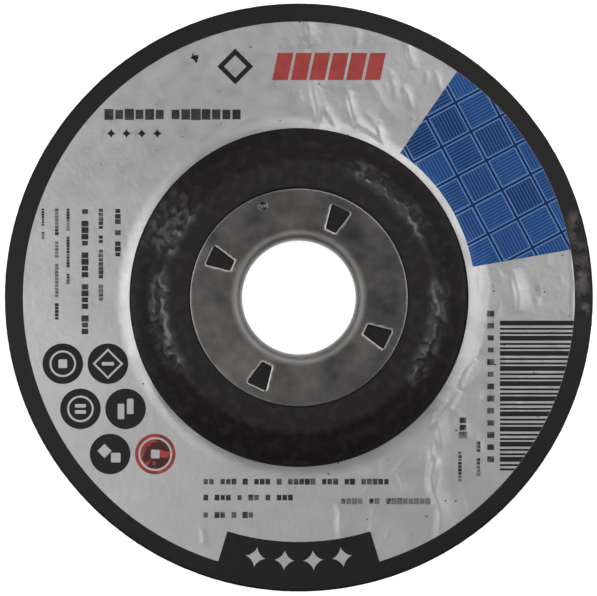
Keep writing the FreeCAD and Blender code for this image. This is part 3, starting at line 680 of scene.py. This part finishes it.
def label_height(points):
    """Height of the label's face over points of the plane: flat, foot, creases, cockled edge."""
    x, y = points.T
    reach, angle = np.hypot(x, y), np.arctan2(y, x)
    into = np.clip(flat_start - reach, 0, None)
    climb = foot_round - label_thickness
    height = disc_thickness + foot_round - np.sqrt(climb ** 2 - into ** 2)
    for x1, y1, x2, y2, width, rise in creases:
        length = math.hypot(x2 - x1, y2 - y1)
        along = ((x - x1) * (x2 - x1) + (y - y1) * (y2 - y1)) / length
        across = ((x - x1) * (y2 - y1) - (y - y1) * (x2 - x1)) / length
        across += crease_sway * width * np.sin(along * sway_rate + x1)
        across += crease_shiver * np.sin(along * shiver_rate + y1)
        taper = ramp(along, -0.5, end_taper * length)
        taper *= ramp(along, length + 0.5, (1 - end_taper) * length)
        far = np.hypot(across, crest_round) / width / np.where(across > 0, 1, flank_ratio)
        height += rise * np.clip(1 - far, 0, None) ** crest_power * np.sqrt(taper)
    degrees = np.degrees(angle)
    bridged = ramp(degrees, bridge_from, bridge_from + bridge_start)
    bridged *= ramp(degrees, bridge_to, bridge_to - bridge_stop)
    outer = bridge_reach + 0.35 * np.sin(7 * angle + 1) + 0.15 * np.sin(19 * angle)
    height += bridge_lift * bridged * ramp(reach, outer, label_inner)
    ripple = sum(share * np.sin(count * angle + start) for count, start, share in edge_waves)
    near = np.exp(-((reach - label_inner) / edge_reach) ** 2)
    swell = sum(np.sin(east * x + north * y + start) for east, north, start in swells)
    side = ramp(np.cos(angle - 0.15), -0.1, 0.7)
    height += edge_wave * (1 + ripple / 4) * side * near
    return height + swell_height * (1 + 2 * swell / len(swells)) * side


def make_label_paper():
    """Metallised paper, varnished: satin silver grey, mottled where the grain shows through."""
    material, tree, place = start_material("metallised_paper")
    # Pricks are rare at the left and commoner towards the right.
    cells = add_node(tree, "ShaderNodeTexVoronoi", {"Vector": place, "Scale": 1 / (1.9 * MM)})
    chance = add_node(tree, "ShaderNodeSeparateColor", {0: cells["Color"]})[0]
    across = add_node(tree, "ShaderNodeSeparateXYZ", {0: place})[0]
    share = add_node(tree, "ShaderNodeMapRange", {
        "Value": across, "From Min": -30 * MM, "From Max": 50 * MM, "To Min": 0.03, "To Max": 0.2,
    })[0]
    # A ragged nick at the upper left shows the black resin below.
    away = add_node(tree, "ShaderNodeVectorMath", {
        0: place, 1: nick_place,
    }, operation="DISTANCE")["Value"]
    ragged = uneven(tree, place, 0.7, 2.0, 0.25 * MM, 1.05 * MM, end=0.65)
    rare, small, torn = (
        add_node(tree, "ShaderNodeMath", {0: value, 1: limit}, operation="LESS_THAN")[0]
        for value, limit in ((chance, share), (cells["Distance"], 0.1), (away, ragged))
    )
    pricked = add_node(tree, "ShaderNodeMath", {0: small, 1: rare}, operation="MULTIPLY")[0]
    mottle = uneven(tree, place, 9, 6.0, coarse=0.6)
    finish_surface(
        tree, place, linear("#BABABA"),
        ((mottle, "#C9C8C8"), (pricked, "#4A4A4B"), (torn, "#1A1716")), (1.1, 3.0, 0.5, 0.08),
        {"Metallic": 0.52, "Roughness": uneven(tree, place, 3, 4.0, 0.27, 0.38)})
    return material


rings = np.linspace(label_inner, label_outer, round((label_outer - label_inner) / label_step) + 1)
climb = np.clip(flat_start - rings, 0, None)
under = disc_thickness + foot_round - np.sqrt(foot_round ** 2 - climb ** 2)
under_rings = [0, 3, 7, len(rings) - 1]
outline = np.concatenate([
    np.stack([rings[under_rings], under[under_rings]], axis=1),
    np.stack([rings, np.full(len(rings), disc_thickness + label_thickness)], axis=1)[::-1],
])
vertices, faces = turned(outline, label_segments)
top_side = np.repeat(np.arange(len(outline)) >= len(under_rings), label_segments)
vertices[top_side, 2] = label_height(vertices[top_side, :2])
paper_label = make_piece("paper_label_silver", vertices, faces)
paper_label.data.set_sharp_from_angle(angle=math.radians(50))
paper_label.data.materials.append(make_label_paper())
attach(paper_label, "root")
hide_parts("paper_label")

# Black border print
# Black ink offset on the label: a ring at its edge with a tab at the bottom, out of which four
# four-pointed stars are left unprinted.
ink = 0.05
border_width, tab_height, tab_half_angle = 3.1, 6.15, math.radians(17)
border_inner = label_outer - border_width
star_reach, star_drop, star_pitch, star_hollow = 2.05, 2.5, math.radians(6.3), 3


def divided(loop, step):
    """A closed loop with its sides divided, so that it can follow the label."""
    loop = np.asarray(loop, dtype=float)
    points = []
    for start, end in zip(loop, np.roll(loop, -1, axis=0)):
        pieces = max(1, math.ceil(math.dist(start, end) / step))
        points += [start + (end - start) * piece / pieces for piece in range(pieces)]
    return np.array(points)


def printed(fields, step=0.8):
    """Thin closed solids over fields of the label, each an even-odd set of loops."""
    parts = []
    for loops in fields:
        loops = [divided(loop, step) for loop in loops]
        corners, triangles = filled(loops, grid_inside(loops, step))
        count = len(corners)
        height = label_height(corners)
        sides = {(int(t[i]), int(t[(i + 1) % 3])) for t in triangles for i in range(3)}
        rim = [(a, b) for a, b in sides if (b, a) not in sides]
        faces = [tuple(t) for t in triangles] + [tuple(t[::-1] + count) for t in triangles]
        faces += [(b, a, a + count, b + count) for a, b in rim]
        skins = np.concatenate([raised(corners, height + ink), raised(corners, height)])
        parts.append((skins, faces))
    return joined(parts)


def arc(radius, start, end, count):
    """Points of a part of a circle, from one angle to the other."""
    return [(radius * math.cos(a), radius * math.sin(a)) for a in np.linspace(start, end, count)]


def star(centre, turn, reach):
    """Four-pointed star with hollow sides, one tip turned this far from -Y."""
    angles = np.arange(40) * 2 * math.pi / 40
    points = np.stack([np.sin(angles) ** star_hollow, -np.cos(angles) ** star_hollow], axis=1)
    return turn_points(reach * points, turn) + np.asarray(centre)


ink_skin = (0.9, 3.0, 0.3, 0.05)


def make_ink(name, code, second_tone_code="#6E6763"):
    """Offset ink under the label's varnish: flat colour, satin, with the paper's mottle in it."""
    material, tree, place = start_material(name)
    mottle = uneven(tree, place, 2.5, 5.0, 0.82, 1.18, coarse=0.65)
    tone = add_node(tree, "ShaderNodeMix", {
        "Factor": 1.0, 6: linear(code), 7: mottle,
    }, data_type="RGBA", blend_type="MULTIPLY")[2]
    second_tone = add_node(tree, "ShaderNodeAttribute", attribute_name="second_tone")["Fac"]
    blotches = uneven(tree, place, 2.4, 4.0, coarse=0.6, start=0.45, end=0.62)
    second_tone_share = add_node(tree, "ShaderNodeMath", {0: second_tone, 1: blotches}, operation="MULTIPLY")[0]
    finish_surface(tree, place, tone, ((second_tone_share, second_tone_code),), ink_skin, {
        "Roughness": 0.42, "Specular IOR Level": 0.25,
    })
    return material


def finish_print(name, fields, material, node, step=0.8):
    """Print these fields on the label in place of a node."""
    piece = make_piece(name, *printed(fields, step))
    piece.data.set_sharp_from_angle(angle=math.radians(50))
    piece.data.materials.append(material)
    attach(piece, "root")
    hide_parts(node)
    return piece


down, turn_about = -math.pi / 2, 2 * math.pi
round_the_tab = arc(border_inner, down + tab_half_angle, down + turn_about - tab_half_angle, 640)
over_the_tab = arc(border_inner - tab_height, down - tab_half_angle, down + tab_half_angle, 60)
star_circle = border_inner - star_drop
stars = [
    star((star_circle * math.sin(a), -star_circle * math.cos(a)), a, star_reach)
    for a in [(place - 1.5) * star_pitch for place in range(4)]
]
black_ink = make_ink("black_offset_ink", "#1A1A1B")
border = finish_print("border_print_black", [
    [circle(label_outer, 720), round_the_tab + over_the_tab, *stars],
], black_ink, "border_print", step=0.9)
# The black ink is lighter, a brownish grey, in patches on the right: middle, half width and half
# length of each patch.
pale_ink_patches = ((55.0, 5.0, 1.3, 5.5), (53.6, 14.0, 1.0, 3.0), (55.6, -2.0, 0.8, 1.5))
spots = points_of(border)
mark(border, "second_tone", sum(
    np.exp(-((spots[:, 0] - x) / wide) ** 2 - ((spots[:, 1] - y) / long) ** 2)
    for x, y, wide, long in pale_ink_patches
))

# Blue panel print
# A field of blue ink between the hub's foot and the border, filled with a basket weave of fine
# lines in lighter and darker blue.
panel_start, panel_end = math.radians(10), math.radians(55)
panel_inner, panel_outer = (label_inner + flat_start) / 2, border_inner - 0.05
weave_cell, weave_line, weave_turn = 6.4, 0.62, math.radians(-28)


def make_blue_ink():
    """Blue offset ink on metallised paper: deep blue with a metal sheen, in lines and squares."""
    material, tree, place = start_material("blue_offset_ink")
    cells = add_node(tree, "ShaderNodeMapping", {
        "Vector": place, "Rotation": (0, 0, weave_turn),
        "Scale": (1 / (weave_cell * MM), 1 / (weave_cell * MM), 0),
    })[0]
    corner = add_node(tree, "ShaderNodeVectorMath", {0: cells}, operation="FLOOR")[0]
    chance = add_node(tree, "ShaderNodeTexWhiteNoise", {"Vector": corner})[0]
    lighter = add_node(tree, "ShaderNodeMapRange", {
        "Value": chance, "From Min": 0.1, "From Max": 0.9,
    })[0]
    # Every other square is lined along the other axis.
    every_other = add_node(tree, "ShaderNodeTexChecker", {"Vector": cells, "Scale": 1.0})["Fac"]
    axes = add_node(tree, "ShaderNodeSeparateXYZ", {0: cells})
    drawn = add_node(tree, "ShaderNodeMix", {"Factor": every_other, 2: axes[0], 3: axes[1]})[0]
    for operation, value in (
        ("MULTIPLY", weave_cell / weave_line), ("PINGPONG", 0.5),
        ("LESS_THAN", 0.17), ("MULTIPLY", 0.55),
    ):
        drawn = add_node(tree, "ShaderNodeMath", {0: drawn, 1: value}, operation=operation)[0]
    # Each square has a light frame, and a dark gutter runs between the squares.
    sides = from_lines(tree, cells)
    nearest = add_node(tree, "ShaderNodeMath", {0: sides[0], 1: sides[1]}, operation="MINIMUM")[0]
    framed = add_node(tree, "ShaderNodeMath", {
        0: nearest, 1: 0.055, 2: 0.018,
    }, operation="COMPARE")[0]
    gutter = add_node(tree, "ShaderNodeMath", {0: nearest, 1: 0.037}, operation="LESS_THAN")[0]
    finish_surface(tree, place, linear("#12326A"), (
        (lighter, "#1F4C8C"), (drawn, "#4B7AB5"), (framed, "#6590C6"), (gutter, "#0E2658"),
    ), ink_skin, {"Metallic": 0.35, "Roughness": 0.4, "Specular IOR Level": 0.25})
    return material


panel = arc(panel_outer, panel_start, panel_end, 60) + arc(panel_inner, panel_end, panel_start, 60)
finish_print("blue_panel_print_woven", [[panel]], make_blue_ink(),
             "blue_panel_print", step=0.6)

# Dark prints
# Discs with plain shapes left unprinted, a field of stripes that runs to the border, a lozenge and
# four small stars, all in the same black ink.
title_top = border_inner - 6.1
title_height, title_start = 5.3, 5.2
lozenge_reach, lozenge_hole, lozenge_gap = 3.5, 2.2, 3.7
lozenge_place = (-title_start - lozenge_gap - lozenge_reach, title_top - title_height / 2)
lead_middle, lead_start = title_top - title_height - 6.7, 38.0
disc_print_radius = (border_inner - flat_start - 2.2) / 4
disc_print_pitch = 2 * disc_print_radius + 0.9
disc_print_limit = border_inner - 2.05 - disc_print_radius
disc_print_top = -12.9
stripe_start, stripe_drop, stripe_pitch, stripe_space = flat_start + 3.4, 4.5, 2.95, 0.45
stripe_widths, stripe_groups = (0.95, 0.4, 0.4), 10
small_star_reach, small_star_pitch, small_star_drop, small_star_start = 0.95, 3.0, 3.7, 1.4


def disc_centre(row, place):
    """Centre of a printed disc: each row starts against the border and steps to the right."""
    y = disc_print_top - row * disc_print_pitch
    return place * disc_print_pitch - math.sqrt(disc_print_limit ** 2 - y ** 2), y


def block(x, y, width, height, corner=0.15):
    """Rectangle with small round corners about a centre."""
    return rounded_outline([
        (x + east * width / 2, y + north * height / 2, corner, 9)
        for east, north in ((-1, -1), (1, -1), (1, 1), (-1, 1))
    ])


def lozenge(x, y, reach):
    """Square standing on its corner."""
    return np.array([(x, y - reach), (x + reach, y), (x, y + reach), (x - reach, y)])


def stripe(top, width):
    """Bar from the stripes' start to the border, whose end follows it."""
    bottom = top - width
    rim = [(math.sqrt(panel_outer ** 2 - y ** 2), y) for y in np.linspace(bottom, top, 4)]
    return [(stripe_start, top), (stripe_start, bottom), *rim]


ring_mark = [circle(2.6, 48), circle(2.2, 48)]
disc_marks = {
    (0, 0): [*ring_mark, block(0, 0, 1.7, 1.7)],
    (0, 1): [lozenge(0, 0, 3.0), lozenge(0, 0, 2.45), block(0, 0, 2.4, 0.7)],
    (1, 0): [*ring_mark, block(0, -0.6, 2.2, 0.7), block(0, 0.6, 2.2, 0.7)],
    (1, 1): [block(-0.9, -0.5, 1.3, 3.0), block(0.9, 0.5, 1.3, 3.0)],
    (2, 0): [lozenge(-1.1, 0.6, 1.4), block(1.1, -0.7, 1.9, 1.9)],
}
dark_fields = [
    [loop + np.array(disc_centre(*spot)) for loop in (circle(disc_print_radius, 96), *marks)]
    for spot, marks in disc_marks.items()
]
for group in range(stripe_groups):
    top = -stripe_drop - group * stripe_pitch
    for width in stripe_widths:
        dark_fields.append([stripe(top, width)])
        top -= width + stripe_space
for place in range(4):
    spot = (place * small_star_pitch + small_star_start - lead_start, lead_middle - small_star_drop)
    dark_fields.append([star(spot, 0, small_star_reach)])
dark_fields.append([lozenge(*lozenge_place, lozenge_reach), lozenge(*lozenge_place, lozenge_hole)])
finish_print("dark_print_black", dark_fields, black_ink, "dark_print")

# Red prints
# Six slanted blocks at the top, and a red disc with a darker middle at the end of the dark discs.
title_block, title_pitch, title_slant, title_count = 3.05, 3.6, 1.1, 6
red_ring_outer, red_ring_inner, red_middle = 3.3, 2.9, 1.7
red_fields = []
for place in range(title_count):
    left, bottom = place * title_pitch - title_start, title_top - title_height
    red_fields.append([[
        (left, bottom), (left + title_block, bottom),
        (left + title_block + title_slant, title_top), (left + title_slant, title_top),
    ]])
x, y = disc_centre(2, 1)
red_fields.append([
    circle(disc_print_radius, 96, (x, y)), circle(red_ring_outer, 72, (x, y)),
    circle(red_ring_inner, 72, (x, y)), block(x, y, red_middle, red_middle),
])
red_print = finish_print("red_print_ink", red_fields,
                         make_ink("red_offset_ink", "#B64844", "#4E2928"), "red_print")
spots = points_of(red_print)
away = np.hypot(spots[:, 0] - x, spots[:, 1] - y)
mark(red_print, "second_tone", 0.5 * (away < disc_print_radius + 0.1) + 6 * ramp(away, 3.2, 2.8))

# Small print
# Lines of words in black ink, too small to read, each letter a plain block.
letter_share, bar_share, word_space = 0.55, 0.62, 1.1
bottom_start, column_start = -18.7, 17.4
# Each line: its middle, where it starts, its height, the letters in each word, how faint it is.
rows = (
    (lead_middle, -lead_start, 3.6, (6, 7), 0.2),
    (17.9 - border_inner, bottom_start, 2.0, (2, 3, 1, 3, 1, 5, 3, 2, 5), 0.6),
    (14.8 - border_inner, bottom_start, 2.0, (1, 3, 1, 2, 1, 3), 0.6),
    (11.4 - border_inner, bottom_start, 2.0, (1, 2, 1, 2), 0.6),
    (14.1 - border_inner, 8.1, 2.0, (4, 2, 8), 3.0),
)
columns = (
    (3.9 - border_inner, column_start, 0.9, (7, 3), 3.0),
    (6.6 - border_inner, column_start, 1.2, (8, 5, 10, 5), 2.5),
    (8.8 - border_inner, column_start, 1.0, (8, 11, 4), 3.0),
    (12.1 - border_inner, column_start, 2.3, (1, 4, 4, 4, 3), 0.2),
    (15.2 - border_inner, column_start, 1.5, (5, 2, 7, 4), 1.2),
    (18.5 - border_inner, column_start, 1.9, (3, 1, 3), 0.5),
    (stripe_start - 1.8, -2.5, 2.3, (1,) * 13, 0.7),
    (stripe_start - 7.2, -23.2, 2.6, (3,), 1.5),
    (stripe_start - 7.8, -30.0, 1.2, (9,), 3.0),
    (stripe_start - 4.2, -28.0, 1.3, (3, 5), 3.0),
)


def letter_places(line, along):
    """A line's letters, words apart by a space; along is +X or, for a column, -Y."""
    middle, start, tall, counts, faint = line
    width = tall * letter_share
    size, turn = (width * MM, tall * bar_share * MM, ink * MM * 1.6), math.pi / 2 * (along < 0)
    for count in counts:
        for place in range(count):
            at = start + along * (place + 0.5) * width
            yield (at, middle) if along > 0 else (middle, at), size, turn, faint
        start += along * (count * width + word_space)


def make_letter_tree():
    """Geometry Nodes: a block on each point, sized and turned by its attributes."""
    tree, given = start_shape_tree(
        "small_print_letters", ("Narrowest", "Widest", "Lowest"), "NodeSocketInt")
    size, turn = (
        add_node(tree, "GeometryNodeInputNamedAttribute", {
            "Name": name,
        }, data_type=kind)["Attribute"]
        for name, kind in (("size", "FLOAT_VECTOR"), ("turn", "FLOAT"))
    )
    spread = add_node(tree, "FunctionNodeRandomValue", {
        2: given["Narrowest"], 3: given["Widest"], "Seed": given["Seed"],
    }, data_type="FLOAT")[1]
    rise = add_node(tree, "FunctionNodeRandomValue", {
        2: given["Lowest"], 3: 1.0, "Seed": given["Seed"],
        "ID": add_node(tree, "GeometryNodeInputIndex")[0],
    }, data_type="FLOAT")[1]
    widths = add_node(tree, "ShaderNodeCombineXYZ", {0: spread, 1: rise, 2: 1.0})[0]
    letters = add_node(tree, "GeometryNodeInstanceOnPoints", {
        "Points": given["Geometry"],
        "Instance": add_node(tree, "GeometryNodeMeshCube", {"Size": (1, 1, 1)})[0],
        "Rotation": add_node(tree, "ShaderNodeCombineXYZ", {2: turn})[0],
        "Scale": add_node(tree, "ShaderNodeVectorMath", {
            0: size, 1: widths,
        }, operation="MULTIPLY")[0],
    })[0]
    return end_shape_tree(tree, letters, given["Material"])


letters = [found for line in rows for found in letter_places(line, 1)]
letters += [found for line in columns for found in letter_places(line, -1)]
spots = np.array([place for place, *_ in letters])
small_print = make_piece("text_print_blocks", raised(spots, label_height(spots) + ink / 2), [])
for index, name, kind in ((1, "size", "FLOAT_VECTOR"), (2, "turn", "FLOAT"), (3, "second_tone", "FLOAT")):
    mark(small_print, name, [letter[index] for letter in letters], kind)
keep_nodes_result(small_print, make_letter_tree(), {
    "Narrowest": 0.72, "Widest": 0.95, "Lowest": 0.78, "Seed": 4,
    "Material": make_ink("thin_black_ink", "#2E2E2F", "#7B7B7D"),
})
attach(small_print, "root")
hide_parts("text_print")

# Studio
# White sweep under the disc, a soft box at either side and two above, and the camera straight
# above at arm's length, where the disc fills the frame.
scene = bpy.context.scene
floor_size, fibre_width = 4.0, 1000 / 60
camera_height, frame_width, sensor_width = 0.300, 0.11638, 36.0
camera_place = (-0.00007, -0.00009)
side_elevation, side_distance, side_size = math.radians(54), 0.9, (0.55, 0.6)
side_x, side_z = side_distance * math.cos(side_elevation), side_distance * math.sin(side_elevation)


def make_sweep():
    """White paper sweep: matt, and seen as white by the camera while it keeps the soft shadow."""
    material, tree, place = start_material("studio_paper")
    rays = add_node(tree, "ShaderNodeLightPath")
    seen = add_node(tree, "ShaderNodeMath", {
        0: rays["Is Camera Ray"], 1: rays["Is Glossy Ray"],
    }, operation="MAXIMUM")[0]
    glow = add_node(tree, "ShaderNodeMath", {0: seen, 1: 0.86}, operation="MULTIPLY")[0]
    feed(tree, tree.nodes["Principled BSDF"], {
        "Base Color": uneven(tree, place, fibre_width, 2.0, 0.66, 0.70, start=0.0, end=1.0),
        "Roughness": 0.9,
        "Emission Color": (1, 1, 1, 1), "Emission Strength": glow,
    })
    return material


sweep = make_piece("studio_floor", [
    (x * floor_size / 2 / MM, y * floor_size / 2 / MM, 0)
    for x, y in ((-1, -1), (1, -1), (1, 1), (-1, 1))
], [(0, 1, 2, 3)])
sweep.data.materials.append(make_sweep())

for name, place, size, power in (
    ("softbox_left", (-side_x, 0, side_z), side_size, 2.25),
    ("softbox_right", (side_x, 0, side_z), side_size, 1.85),
    ("softbox_overhead", (-0.2, -0.22, 1.1), (0.5, 0.5), 0.58),
    ("softbox_fill", (0.28, 0.55, 1.0), (0.6, 0.6), 2.35),
):
    lamp = bpy.data.lights.new(name, "AREA")
    lamp.shape = "RECTANGLE"
    lamp.size, lamp.size_y = size
    lamp.energy = power
    box = bpy.data.objects.new(name, lamp)
    box.location = place
    box.rotation_euler = Vector(place).to_track_quat("Z", "Y").to_euler()
    scene.collection.objects.link(box)

# The room is dark above and pale at the height of its windows, more so on the far side.
world = bpy.data.worlds.new("studio_room")
scene.world = world
world.use_nodes = True
room = world.node_tree
towards = add_node(room, "ShaderNodeSeparateXYZ", {
    0: add_node(room, "ShaderNodeTexCoord")["Generated"],
})
low_wall, window_side = (
    add_node(room, "ShaderNodeMapRange", {
        "Value": value, "From Min": start, "From Max": end, "To Min": low, "To Max": high,
    })[0]
    for value, start, end, low, high in (
        (towards[2], 0.08, 0.3, 1.0, 0.1), (towards[1], -1.0, 1.0, 0.35, 1.15),
    )
)
walls = add_node(room, "ShaderNodeMath", {0: low_wall, 1: window_side}, operation="MULTIPLY")[0]
feed(room, room.nodes["Background"], {"Color": (1, 1, 1, 1), "Strength": walls})

camera = bpy.data.objects.new("camera", bpy.data.cameras.new("camera"))
camera.data.sensor_width = sensor_width
camera.data.lens = sensor_width * camera_height / frame_width
label_plane = (disc_thickness + label_thickness) * MM
camera.location = (*camera_place, label_plane + camera_height)
scene.collection.objects.link(camera)
scene.camera = camera
scene.view_settings.view_transform = "Standard"
